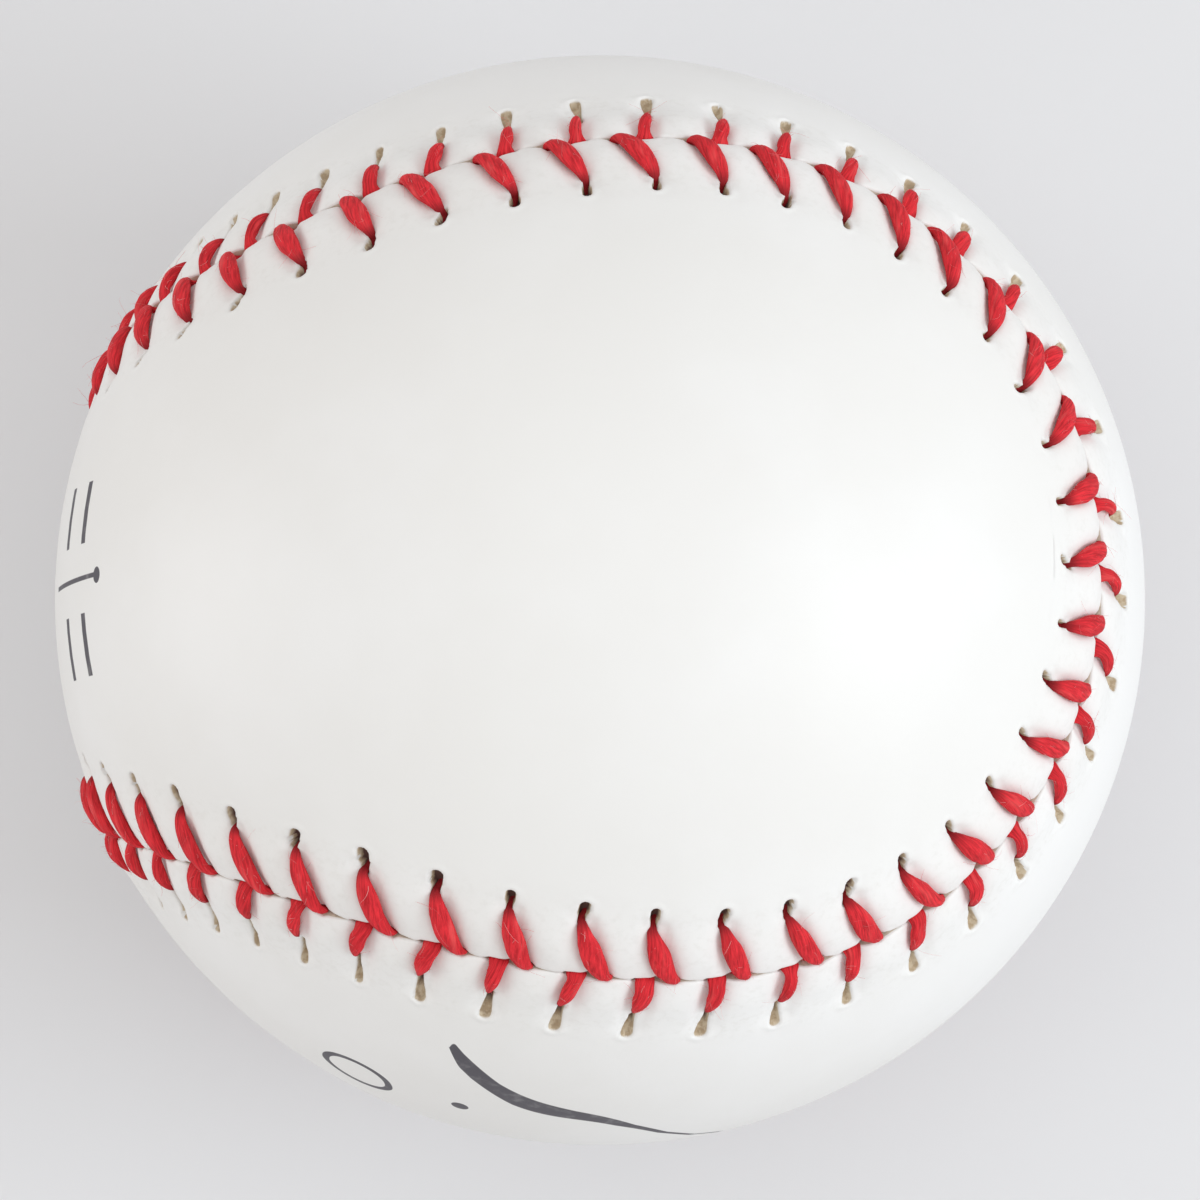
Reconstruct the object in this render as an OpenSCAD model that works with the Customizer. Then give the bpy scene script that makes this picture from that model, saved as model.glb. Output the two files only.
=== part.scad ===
// Baseball, taken apart on the bench from the cork centre out to the sewn leather cover.
// Origin at the centre of the ball, millimetres. Cover panel A has its two lobes at +Z and -Z and
// its waist at -X; cover panel B has its lobes at +Y and -Y and its waist at +X.

/* [Ball] */
// Diameter over the leather cover
ball_d = 74; // [73:0.25:74.8]
// Thickness of the leather cover
cover_t = 1.3; // [1.2:0.05:1.4]
// Thickness of the cement that holds the cover down
cement_t = 0.1; // [0.06:0.02:0.12]

/* [Pill] */
// Diameter of the composition cork core
core_d = 20.64; // [20:0.02:21]
// Thickness of each black rubber cushion shell
cushion_t = 3.97; // [3.8:0.01:4.1]
// Thickness of each red rubber washer between the cushion shells
washer_t = 0.4; // [0.3:0.05:0.6]
// Thickness of the red rubber jacket round the pill
jacket_t = 2.38; // [2.2:0.02:2.5]

/* [Windings] */
// Diameter over the first winding, grey four-ply wool
first_winding_d = 62.66; // [62:0.02:63.2]
// Diameter over the second winding, white three-ply wool
second_winding_d = 66.2; // [65.8:0.02:66.6]
// Diameter over the third winding, grey three-ply wool
third_winding_d = 70.7; // [70:0.02:70.74]

/* [Seam] */
// Stitches on each cover panel, a multiple of four
stitches = 88; // [80:4:96]
// How far the seam reaches from the waist plane towards +X and -X, in degrees
seam_reach = 64.1; // [62:0.1:66]
// Flatness of the seam's long sides
seam_flat = 0.107; // [0:0.001:0.12]
// Swing of the seam round the X axis, in degrees
seam_swing = 13.2; // [12:0.1:16]
// Second, smaller swing of the seam round the X axis, in degrees
seam_ripple = -4.8; // [-5:0.1:0]
// Distance of the stitch holes from the seam
hole_offset = 4.9; // [4.6:0.1:5.2]
// Diameter of the stitch holes
hole_d = 0.9; // [0.86:0.02:1]
// How far panel B's holes lie behind panel A's, in stitches
hole_lag = 0.1; // [0:0.02:0.14]

/* [Uneven sewing] */
// Stitch at which the two panels drift out of step and back
drift_at = 23.5; // [20:0.5:60]
// Length of the drift's wave, in stitches
drift_length = 13; // [10:1:20]
// How many stitches the drift takes to die away
drift_spread = 6; // [4:0.5:8]
// How far the drift moves panel B's holes, in stitches
drift_b = 0.35; // [0:0.05:0.35]
// How far the drift moves the place where the strands dive, in stitches
drift_a = 0.15; // [0:0.05:0.2]
// How far one stitch differs from the next, in stitches
jitter = 0.04; // [0:0.01:0.04]

/* [Thread] */
// Width of panel A's strands where they are fattest
strand_a_w = 1.6; // [1.4:0.05:1.8]
// Width of panel B's strands where they are fattest
strand_b_w = 1.4; // [1.2:0.05:1.5]
// Height of a strand where it is fattest
strand_t = 0.85; // [0.75:0.05:0.9]
// Diameter of the thread where it passes through a hole
thread_d = 0.78; // [0.7:0.02:0.8]
// Where panel A's strands dive into the seam, in stitches ahead of their hole
dive_a = 0.33; // [0.3:0.01:0.4]
// How far behind them panel B's strands dive, in stitches
dive_gap = 0.31; // [0.3:0.01:0.33]

/* [Hidden] */

core_r = core_d / 2;
cushion_r = core_r + cushion_t;
jacket_r = cushion_r + jacket_t;
ball_r = ball_d / 2;
cover_in_r = ball_r - cover_t;
cement_in_r = cover_in_r - cement_t;
finish_in_r = third_winding_d / 2;
// the hidden runs of thread are flat and pressed into the finish winding, under the cover
run_t = cover_in_r - finish_in_r - 0.02;
run_w = 1.3;
run_r = cover_in_r - run_t / 2 - 0.01;
// the cut edges of the two panels butt at the seam and part where the flat strands dive between them
seam_gap = 0.04;
dive_w = 1.25;
dive_t = 0.45;
eye_gap = dive_t / 2 + 0.03;
eye_start = -dive_gap - 0.16;
eye_end = 0.16;
EYE = [[eye_start - 0.06, seam_gap], [eye_start, eye_gap], [eye_end, eye_gap], [eye_end + 0.06, seam_gap]];
edge_points = stitches * len(EYE);
cutter_r = ball_r * 1.6;
strand_sides = 6;
layer_fn = 96;
deg_per_rad = 180 / PI;

// The seam: latitude above the waist plane and longitude round the X axis, for a turn angle t of 0 to 720
function seam_lat(t) = seam_reach * (cos(t) + seam_flat * (cos(t) - cos(3 * t)));
function seam_lon(t) = t / 2 + seam_swing * sin(2 * t) + seam_ripple * sin(4 * t);
function on_seam(t) = let (lat = seam_lat(t), lon = seam_lon(t))
    [-sin(lat), -cos(lat) * cos(lon), cos(lat) * sin(lon)];

// Length along the seam up to each turn angle, then the turn angle at any stitch number
LENGTHS = [for (t = 0, run = 0; t <= 720; run = run + norm(on_seam(t + 1) - on_seam(t)), t = t + 1)
    [run, t]];
seam_length = LENGTHS[720][0];
function turn_at(k) = let (m = k - stitches * floor(k / stitches))
    lookup(m / stitches * seam_length, LENGTHS);

function unit(v) = v / norm(v);
function seam(k) = on_seam(turn_at(k));
function forward(k) = unit(seam(k + 0.1) - seam(k - 0.1));
function towards_a(k) = unit(cross(seam(k), forward(k)));

// A point k stitches along the seam, h mm across it towards panel A, at radius r
function at(k, h, r) = let (angle = h / ball_r * deg_per_rad)
    r * (seam(k) * cos(angle) + towards_a(k) * sin(angle));

// Hand sewing is uneven. Stitch k of panel B has its hole at k + hole_b_at(k), and the strands from
// both holes dive into the seam at k + dive_a_at(k) and k + dive_b_at(k)
function drift(k) = sin(360 * (k - drift_at) / drift_length) * exp(-pow((k - drift_at) / drift_spread, 2));
function hole_b_at(k) = drift_b * drift(k) - hole_lag;
function dive_a_at(k) = dive_a + drift_a * drift(k) + jitter * sin(137 * k);
function dive_b_at(k) = dive_a_at(k) - dive_gap;
function hole_at(k, side) = side > 0 ? k : k + hole_b_at(k);

// Lays a module's +Z along the radius through p
module along_radius(p) {
    rotate([0, acos(p.z / norm(p)), atan2(p.y, p.x)]) children();
}

module layer(outer_r, inner_r) {
    difference() {
        sphere(outer_r, $fn = layer_fn);
        sphere(inner_r, $fn = layer_fn);
    }
}

module cork_core() {
    color("peru") sphere(core_r, $fn = layer_fn);
}

// Keeps what lies between two heights
module slab(low, high) {
    intersection() {
        children();
        translate([-ball_r, -ball_r, low]) cube([ball_d, ball_d, high - low]);
    }
}

module cushion_shell_upper() {
    color("dimgray") slab(washer_t, ball_r) layer(cushion_r, core_r);
}

module cushion_shell_lower() {
    color("dimgray") slab(-ball_r, -washer_t) layer(cushion_r, core_r);
}

module cushion_washer_upper() {
    color("firebrick") slab(0, washer_t) layer(cushion_r, core_r);
}

module cushion_washer_lower() {
    color("firebrick") slab(-washer_t, 0) layer(cushion_r, core_r);
}

module pill_jacket() {
    color("indianred") layer(jacket_r, cushion_r);
}

module first_winding() {
    color("darkgray") layer(first_winding_d / 2, jacket_r);
}

module second_winding() {
    color("ivory") layer(second_winding_d / 2, first_winding_d / 2);
}

module third_winding() {
    color("gray") layer(finish_in_r, second_winding_d / 2);
}

module finish_winding() {
    color("white") layer(cement_in_r, finish_in_r);
}

module cement_coat() {
    color("wheat") layer(cover_in_r, cement_in_r);
}

// The cone from the ball's centre through one panel's edge. rungs join the edge's points in pairs.
module panel_cone(side, rungs) {
    edge = [for (j = [0:edge_points - 1]) let (eye = EYE[j % len(EYE)], k = floor(j / len(EYE)))
        at(k + dive_a_at(k) + eye[0], side * eye[1], cutter_r)];
    last = len(rungs) - 1;
    sides = [for (j = [0:edge_points - 1]) let (next = (j + 1) % edge_points)
        side > 0 ? [edge_points, j, next] : [edge_points, next, j]];
    cap = [for (m = [0:last - 1]) let (p = rungs[m], q = rungs[m + 1])
        each [[p[0], q[0], q[1]], [p[0], q[1], p[1]]]];
    polyhedron(points = concat(edge, [[0, 0, 0]]), faces = concat(sides, cap));
}

module stitch_holes(side) {
    for (k = [0:stitches - 1])
        along_radius(at(hole_at(k, side), side * hole_offset, 1))
            translate([0, 0, cover_in_r - 1]) cylinder(d = hole_d, h = cover_t + 2, $fn = 16);
}

// The shell's own poles are turned so that they lie outside the panel
module cover_panel(side, rungs) {
    difference() {
        intersection() {
            rotate([side > 0 ? 90 : 0, 0, 0]) layer(ball_r, cover_in_r);
            panel_cone(side, rungs);
        }
        stitch_holes(side);
    }
}

// Panel A's rungs run along Y, panel B's along Z; both are counted round the seam
quarter = edge_points / 4;
function wrap(j) = j - edge_points * floor(j / edge_points);
RUNGS_A = [for (m = [0:2 * quarter - 1]) [wrap(quarter - 1 - m), wrap(quarter + m)]];
RUNGS_B = [for (m = [0:2 * quarter - 1]) [m, edge_points - 1 - m]];

module cover_panel_a() {
    color("whitesmoke") cover_panel(1, RUNGS_A);
}

module cover_panel_b() {
    color("white") cover_panel(-1, RUNGS_B);
}

// One stitch: up through its hole, over the leather, down at the seam and off under the other panel.
// Each station is [stitches ahead of the hole, mm from the seam towards its own side, radius, width,
// height].
function stations(dive, strand_w) = [
    [0, hole_offset + 0.05, run_r, thread_d, run_t],
    [0, hole_offset, ball_r - 0.35, thread_d, thread_d],
    [0.2 * dive, 0.8 * hole_offset, ball_r + 0.42, 0.8 * strand_w, strand_t],
    [0.55 * dive, 0.45 * hole_offset, ball_r + 0.45, strand_w, strand_t],
    [0.9 * dive, 0.14 * hole_offset, ball_r + 0.3, 0.9 * strand_w, 0.8 * strand_t],
    [dive, 0, ball_r - 0.5, dive_w, dive_t],
    [dive + 0.04, -0.9, run_r, run_w, run_t]];

// Each needle sews panel A's holes with one parity of stitch and panel B's with the other
function needle_route(parity) = [for (k = [0:stitches - 1])
    let (side = (k + parity) % 2 == 0 ? 1 : -1,
        hole = hole_at(k, side),
        run = side > 0 ? dive_a_at(k) : dive_b_at(k) - hole_b_at(k))
    for (s = stations(run, side > 0 ? strand_a_w : strand_b_w))
        [hole + s[0], side * s[1], s[2], s[3], s[4]]];

// A ring of points round station i, flat along b and standing along its cross product with d
function ring(route, i) = let (
        last = len(route) - 1,
        here = route[i], back = route[max(i - 1, 0)], ahead = route[min(i + 1, last)],
        centre = at(here[0], here[1], here[2]),
        step = at(ahead[0], ahead[1], ahead[2]) - at(back[0], back[1], back[2]),
        out = unit(centre),
        level = step - out * (step * out),
        level_side = cross(out, level),
        fwd = forward(here[0]),
        b = norm(level) < 0.8 ? unit(cross(towards_a(here[0]), out))
            : unit(level_side) * (level_side * fwd >= 0 ? 1 : -1),
        b_fwd = b * (b * fwd >= 0 ? 1 : -1),
        d = unit(step - b_fwd * (step * b_fwd)),
        u = cross(d, b_fwd))
    [for (n = [0:strand_sides - 1]) let (a = 360 / strand_sides * n)
        centre + here[3] / 2 * cos(a) * b_fwd + here[4] / 2 * sin(a) * u];

module needle_thread(parity) {
    route = needle_route(parity);
    rings = len(route);
    points = [for (i = [0:rings - 1]) each ring(route, i)];
    walls = [for (i = [0:rings - 2]) for (n = [0:strand_sides - 1])
        let (m = (n + 1) % strand_sides, low = i * strand_sides, high = low + strand_sides)
        each [[low + n, high + n, high + m], [low + n, high + m, low + m]]];
    first_end = [for (n = [0:strand_sides - 1]) n];
    last_end = [for (n = [0:strand_sides - 1]) rings * strand_sides - 1 - n];
    polyhedron(points = points, faces = concat(walls, [first_end, last_end]));
}

module seam_thread_first_needle() {
    color("crimson") needle_thread(0);
}

module seam_thread_second_needle() {
    color("crimson") needle_thread(1);
}

cork_core();
cushion_shell_upper();
cushion_shell_lower();
cushion_washer_upper();
cushion_washer_lower();
pill_jacket();
first_winding();
second_winding();
third_winding();
finish_winding();
cement_coat();
cover_panel_a();
cover_panel_b();
seam_thread_first_needle();
seam_thread_second_needle();
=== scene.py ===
"""A baseball, built from the sewn leather cover inwards to the cork of its pill."""

import math

import bmesh
import bpy
import numpy as np
from mathutils import Matrix, Vector


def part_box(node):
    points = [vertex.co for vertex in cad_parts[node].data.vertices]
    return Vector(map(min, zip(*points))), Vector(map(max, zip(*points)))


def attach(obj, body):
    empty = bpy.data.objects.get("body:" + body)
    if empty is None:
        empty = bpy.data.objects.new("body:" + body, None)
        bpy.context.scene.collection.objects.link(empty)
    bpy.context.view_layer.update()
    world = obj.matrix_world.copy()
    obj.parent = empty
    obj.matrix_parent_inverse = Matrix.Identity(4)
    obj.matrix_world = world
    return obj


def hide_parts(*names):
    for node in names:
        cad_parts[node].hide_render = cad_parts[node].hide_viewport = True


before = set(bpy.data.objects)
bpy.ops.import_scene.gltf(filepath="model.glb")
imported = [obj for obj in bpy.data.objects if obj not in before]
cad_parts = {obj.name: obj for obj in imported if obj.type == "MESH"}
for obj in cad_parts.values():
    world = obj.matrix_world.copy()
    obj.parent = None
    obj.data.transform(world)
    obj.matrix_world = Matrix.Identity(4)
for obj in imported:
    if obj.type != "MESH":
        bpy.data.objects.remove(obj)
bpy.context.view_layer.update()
scene = bpy.context.scene
scene.view_settings.view_transform = "Standard"


# ---- Camera and studio -------------------------------------------------------------------
# The ball lies on a pale table under a camera that looks almost straight down. A broad lamp
# stands to the right, and the pale room fills the shadow that falls to the left.

low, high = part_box("cover_panel_a")
ball_r = (high[2] - low[2]) / 2

camera_back = Vector((0.0616, -0.1122, 0.9918)).normalized()
camera_up = Vector((0.0027, 0.9937, 0.1122))
camera_distance = 7.46 * ball_r
# the radius of the ball's outline, as a share of the frame's width
outline_share = 0.454167
sensor = 36.0
camera = bpy.data.objects.new("camera", bpy.data.cameras.new("camera"))
scene.collection.objects.link(camera)
camera.data.sensor_width = sensor
camera.data.lens = outline_share * sensor * math.sqrt((camera_distance / ball_r) ** 2 - 1)
camera_right = camera_up.cross(camera_back).normalized()
turn = Matrix((camera_right, camera_back.cross(camera_right), camera_back)).transposed()
camera.matrix_world = Matrix.Translation(camera_back * camera_distance) @ turn.to_4x4()
camera.data.clip_start, camera.data.clip_end = 0.01, 20
scene.camera = camera


class Socket:
    """A shader output that takes part in sums as a number does."""

    def __init__(self, tree, out):
        self.tree, self.out = tree, out

    def math(self, operation, *values):
        maths = self.tree.nodes.new("ShaderNodeMath")
        maths.operation = operation
        for place, value in enumerate(values):
            if isinstance(value, Socket):
                self.tree.links.new(value.out, maths.inputs[place])
            else:
                maths.inputs[place].default_value = value
        return Socket(self.tree, maths.outputs[0])

    def __add__(self, other):
        return self.math("ADD", self, other)

    def __radd__(self, other):
        return self.math("ADD", other, self)

    def __sub__(self, other):
        return self.math("SUBTRACT", self, other)

    def __rsub__(self, other):
        return self.math("SUBTRACT", other, self)

    def __mul__(self, other):
        return self.math("MULTIPLY", self, other)

    def __rmul__(self, other):
        return self.math("MULTIPLY", other, self)

    def __truediv__(self, other):
        return self.math("DIVIDE", self, other)

    def __pow__(self, other):
        return self.math("POWER", self, other)

    def __abs__(self):
        return self.math("ABSOLUTE", self)

    def sine(self):
        return self.math("SINE", self)

    def at_least(self, other):
        return self.math("MAXIMUM", self, other)

    def at_most(self, other):
        return self.math("MINIMUM", self, other)

    def ramp(self, start, end):
        """0 up to start, 1 from end on, and a smooth S between."""
        step = self.tree.nodes.new("ShaderNodeMapRange")
        step.interpolation_type = "SMOOTHSTEP"
        self.tree.links.new(self.out, step.inputs["Value"])
        step.inputs["From Min"].default_value = start
        step.inputs["From Max"].default_value = end
        return Socket(self.tree, step.outputs["Result"])


class Finish:
    """A material made of one Principled shader, with the patterns that feed it."""

    def __init__(self, name, **constants):
        self.material = bpy.data.materials.new(name)
        self.material.use_nodes = True
        self.tree = self.material.node_tree
        self.shader = self.tree.nodes["Principled BSDF"]
        for socket, value in constants.items():
            self.shader.inputs[socket.replace("_", " ")].default_value = value

    def node(self, kind, settings=None, out=0, **values):
        """Adds a node, sets its settings, then gives its sockets their values or links. A
        socket goes by its name, or by its number after an underscore."""
        made = self.tree.nodes.new("ShaderNode" + kind)
        for key, value in (settings or {}).items():
            setattr(made, key, value)
        for key, value in values.items():
            target = made.inputs[int(key[1:])] if key[1:].isdigit() else made.inputs[key.replace("_", " ")]
            if isinstance(value, Socket):
                self.tree.links.new(value.out, target)
            else:
                target.default_value = value
        return Socket(self.tree, made.outputs[out])

    def place(self):
        """Where the surface is on the ball."""
        return self.node("TexCoord", out="Object")

    def attribute(self, name):
        return self.node("Attribute", {"attribute_name": name}, out="Fac")

    def noise(self, where, scale, detail=3.0, roughness=0.55):
        return self.node("TexNoise", Vector=where, Scale=scale, Detail=detail, Roughness=roughness)

    def blend(self, share, first, second):
        """A colour between two, by share."""
        return self.node("Mix", {"data_type": "RGBA"}, out=2, Factor=share, _6=first, _7=second)

    def bump(self, height, distance, strength):
        return self.node("Bump", Height=height, Distance=distance, Strength=strength)

    def feed(self, **links):
        """Links patterns to the shader's sockets and gives the finished material."""
        for socket, link in links.items():
            self.tree.links.new(link.out, self.shader.inputs[socket.replace("_", " ")])
        return self.material


def plain_sheet(name, half, height):
    """A square that lies level at a height, out to half its side each way."""
    mesh = bpy.data.meshes.new(name)
    corners = [(-half, -half, height), (half, -half, height), (half, half, height), (-half, half, height)]
    mesh.from_pydata(corners, [], [(0, 1, 2, 3)])
    sheet = bpy.data.objects.new(name, mesh)
    scene.collection.objects.link(sheet)
    return sheet


table = plain_sheet("table_top", 3.0, low[2] - 0.00005)
table_white = Finish("table_white", Base_Color=(0.755, 0.755, 0.768, 1), Roughness=0.75)
table.data.materials.append(table_white.material)

room = bpy.data.worlds.new("room")
room.use_nodes = True
background = room.node_tree.nodes["Background"]
background.inputs["Color"].default_value = (1.0, 0.985, 0.972, 1)
background.inputs["Strength"].default_value = 0.68
scene.world = room


def soft_lamp(name, place, size, power, colour):
    """A square lamp that faces the ball."""
    lamp = bpy.data.lights.new(name, "AREA")
    lamp.size, lamp.energy, lamp.color = size, power, colour
    holder = bpy.data.objects.new(name, lamp)
    scene.collection.objects.link(holder)
    holder.location = place
    holder.rotation_mode = "QUATERNION"
    holder.rotation_quaternion = (-Vector(place)).to_track_quat("-Z", "Y")


soft_lamp("window", (0.62, -0.12, 0.42), 0.4, 2.35, (0.88, 0.95, 1.0))
soft_lamp("ceiling", (0.05, 0.1, 1.1), 0.9, 1.9, (0.97, 0.99, 1.0))
soft_lamp("left_wall", (-0.9, 0.0, 0.16), 0.35, 1.35, (1.0, 0.985, 0.965))


# ---- Leather cover -----------------------------------------------------------------------
# Two figure-eight panels of white alum-tanned horsehide or cowhide, 1.3 mm thick, wrapped
# damp over the cemented yarn. Their cut edges butt at one winding seam, and each edge has
# 88 punched holes, which the thread drags into slots. Hand sewing leaves them a little uneven.

mm = 0.001
cover_t = 1.3 * mm
stitches = 88
hole_offset = 4.9 * mm
seam_flat = 0.107
seam_reach, seam_swing, seam_ripple = (math.radians(angle) for angle in (64.1, 13.2, -4.8))
# lengths along the seam, counted in stitches
hole_lag, dive, dive_gap, jitter = 0.1, 0.33, 0.31, 0.04
drift_at, drift_length, drift_spread, drift_b, drift_a = 23.5, 13, 6, 0.35, 0.15


def on_seam(turn_angle):
    """The seam on a unit sphere. Its latitude from the YZ plane swings twice to -X and twice
    to +X while its longitude round the X axis goes round once, with a ripple."""
    flatter = np.cos(turn_angle) - np.cos(3 * turn_angle)
    lat = seam_reach * (np.cos(turn_angle) + seam_flat * flatter)
    lon = turn_angle / 2 + seam_swing * np.sin(2 * turn_angle) + seam_ripple * np.sin(4 * turn_angle)
    return np.stack([-np.sin(lat), -np.cos(lat) * np.cos(lon), np.cos(lat) * np.sin(lon)], -1)


def unit(v):
    return v / np.linalg.norm(v, axis=-1, keepdims=True)


turns = np.linspace(0, 4 * np.pi, 20001)
lengths = np.concatenate([[0], np.cumsum(np.linalg.norm(np.diff(on_seam(turns), axis=0), axis=1))])
stitch_pitch = lengths[-1] * ball_r / stitches


def seam(k):
    """The seam's direction at stitch number k, evenly spaced along its length."""
    return on_seam(np.interp(np.mod(k, stitches) / stitches * lengths[-1], lengths, turns))


def seam_axes(k):
    """Out, forward and towards panel A at stitch number k."""
    out = unit(seam(k))
    forward = unit(seam(k + 0.05) - seam(k - 0.05))
    forward = unit(forward - out * (forward * out).sum(-1, keepdims=True))
    return out, forward, np.cross(out, forward)


def on_ball(k, across, radius):
    """The point k stitches along the seam, a length across it towards panel A, at a radius."""
    out, _, to_a = seam_axes(k)
    angle = (across / ball_r)[..., None]
    return radius[..., None] * (out * np.cos(angle) + to_a * np.sin(angle))


def drift(k):
    """How far the two panels run out of step: one wave that dies away to both sides."""
    return np.sin(2 * np.pi * (k - drift_at) / drift_length) * np.exp(-(((k - drift_at) / drift_spread) ** 2))


def hole_at(k, side):
    """Where stitch k of a panel has its hole: panel B's lag behind and drift."""
    k = np.mod(k, stitches)
    return k if side > 0 else k + drift_b * drift(k) - hole_lag


def dive_at(k, side):
    """Where the strand from that hole goes down between the cut edges."""
    k = np.mod(k, stitches)
    ahead = dive + drift_a * drift(k) + jitter * np.sin(np.radians(137) * k)
    return k + (ahead if side > 0 else ahead - dive_gap)


def value_noise(x, y, seed, period=None):
    """Smooth noise from -1 to 1: random heights at whole numbers, joined by S curves. Along x
    it repeats after period."""
    heights = np.random.default_rng(seed).uniform(-1, 1, (period or 512, 64))
    x0, y0 = np.floor(x).astype(int), np.floor(y).astype(int)
    fx, fy = x - x0, y - y0
    fx, fy = fx * fx * (3 - 2 * fx), fy * fy * (3 - 2 * fy)

    def height(i, j):
        return heights[np.mod(i, heights.shape[0]), np.mod(j, 64)]

    near = height(x0, y0) * (1 - fx) + height(x0 + 1, y0) * fx
    far = height(x0, y0 + 1) * (1 - fx) + height(x0 + 1, y0 + 1) * fx
    return near * (1 - fy) + far * fy


def smooth(x, start, end):
    """0 up to start, 1 from end on, and a smooth S between."""
    s = np.clip((x - start) / (end - start), 0, 1)
    return s * s * (3 - 2 * s)


def new_piece(name, points, quads, odd_faces=(), attributes=None):
    """Makes a mesh object from arrays: points, four-cornered faces, then faces of any size."""
    mesh = bpy.data.meshes.new(name)
    odd = [np.asarray(face) for face in odd_faces]
    corners = np.concatenate([np.asarray(quads).ravel(), *odd]).astype(np.int32)
    sizes = np.concatenate([np.full(len(quads), 4), [len(face) for face in odd]]).astype(np.int32)
    mesh.vertices.add(len(points))
    mesh.vertices.foreach_set("co", np.ascontiguousarray(points, np.float32).ravel())
    mesh.loops.add(len(corners))
    mesh.loops.foreach_set("vertex_index", corners)
    mesh.polygons.add(len(sizes))
    mesh.polygons.foreach_set("loop_start", np.concatenate([[0], np.cumsum(sizes)[:-1]]).astype(np.int32))
    mesh.polygons.foreach_set("use_smooth", np.ones(len(sizes), bool))
    for key, values in (attributes or {}).items():
        mesh.attributes.new(key, "FLOAT", "POINT").data.foreach_set("value", values.astype(np.float32))
    mesh.update(calc_edges=True)
    mesh.validate()
    piece = bpy.data.objects.new(name, mesh)
    scene.collection.objects.link(piece)
    return piece


columns_a_stitch = 20
columns = stitches * columns_a_stitch
step = np.arange(columns)
# columns crowd round each hole, at whole stitch numbers
column_k = step / columns_a_stitch - 0.6 * np.sin(2 * np.pi * step / columns_a_stitch) / (2 * np.pi)

# the rows of the rolled edge, in millimetres: distance from the seam, and how far it is sunk
rolled_edge = [(0.012, 1.3), (0.012, 0.85), (0.014, 0.48), (0.02, 0.22), (0.05, 0.09), (0.12, 0.03),
               (0.28, 0.005), (0.5, 0)]
# the level rows of panel A (1) and panel B (-1), which crowd where the panel has its holes
plain_rows = {
    1: [0.75, 1.05, 1.4, 1.8, 2.3, 2.8, 3.3, 3.7, 3.95, *np.arange(4.1, 6.25, 0.1), 6.4, 6.7],
    -1: [0.75, 1.05, 1.4, 1.8, 2.15, 2.45, 2.7, *np.arange(2.85, 5.95, 0.13), 6.1, 6.4, 6.7],
}
# where a slot's round ends have their centres, in millimetres from the hole as it was punched
slot_ends = {1: (-0.75, 0.52), -1: (-1.95, 0.12)}
slot_r = 0.38
# points this near a slot's outline move onto it
rim_reach = 0.075


def rungs_between(loop, first, inner):
    """Fills a ring of points with rungs that join it in pairs to either side of column first.
    Each rung is part of a great circle, with inner points between its two ends."""
    pair = np.arange(1, columns // 2)
    left, right = (first - pair) % columns, (first + pair) % columns
    a, b = unit(loop[left]), unit(loop[right])
    angle = np.arccos(np.clip((a * b).sum(1), -1, 1))[:, None, None]
    share = (np.arange(1, inner + 1) / (inner + 1))[None, :, None]
    inside = (a[:, None] * np.sin((1 - share) * angle) + b[:, None] * np.sin(share * angle)) / np.sin(angle)
    return inside.reshape(-1, 3), left, right


def stitch_slots(k, across, side, seed):
    """One panel's slots, over points k stitches along the seam and so many millimetres across.
    A slot is a round-ended bar that narrows towards the seam. Points less than rim_reach from
    its outline move onto it, and those well within it go down to its floor."""
    rng = np.random.default_rng(seed)
    stitch_no = np.mod(np.round(k), stitches).astype(int)
    least_lean = -0.3 if side > 0 else -0.05
    long, wide, lean = (rng.uniform(low, high, stitches)[stitch_no]
                        for low, high in ((0.8, 1.25), (0.88, 1.12), (least_lean, 0.12)))
    # how much painted light each of panel A's slots gets on its far wall, at random
    painted_light_share = rng.uniform(-0.2, 1.0, stitches)[stitch_no]
    from_hole = across - hole_offset / mm
    along = (k - np.round(k)) * stitch_pitch / mm + lean * from_hole
    near_end, far_end = slot_ends[side]
    beyond = from_hole - np.clip(from_hole, near_end * long, far_end * long)
    from_axis = np.maximum(np.hypot(along, beyond), 1e-6)
    taper = 0.12 * smooth(-from_hole, 0.0, 0.6) if side > 0 else 0.17 * smooth(-from_hole, -0.2, 1.5)
    inward = slot_r * wide - taper - from_axis
    at_rim = np.abs(inward) < rim_reach
    snap = np.where(at_rim, inward / from_axis, 0)
    far = smooth(from_hole, near_end, far_end + 0.3)
    depth = 0.75 - 0.1 * far if side > 0 else 0.85 - 0.4 * far
    return {
        "k": k + along * snap * mm / stitch_pitch,
        "across": across + beyond * snap,
        "pit": depth * (inward >= rim_reach),
        "within": np.where(at_rim, 0, np.clip(inward / 0.3, -1, 1)),
        # lit: painted light on the slot's far wall, which lifts the painted shade there
        "lit": painted_light_share * smooth(from_hole, 0.35, 0.8) if side > 0 else smooth(from_hole, -1.0, -0.2),
        "lip": np.exp(-(((inward + 0.19) / 0.17) ** 2)) * (0.055 if side > 0 else 0.085),
        "pulled": -0.12 * np.exp(-((along / 1.1) ** 2 + ((from_hole + 0.1) / 1.5) ** 2)),
    }


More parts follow.
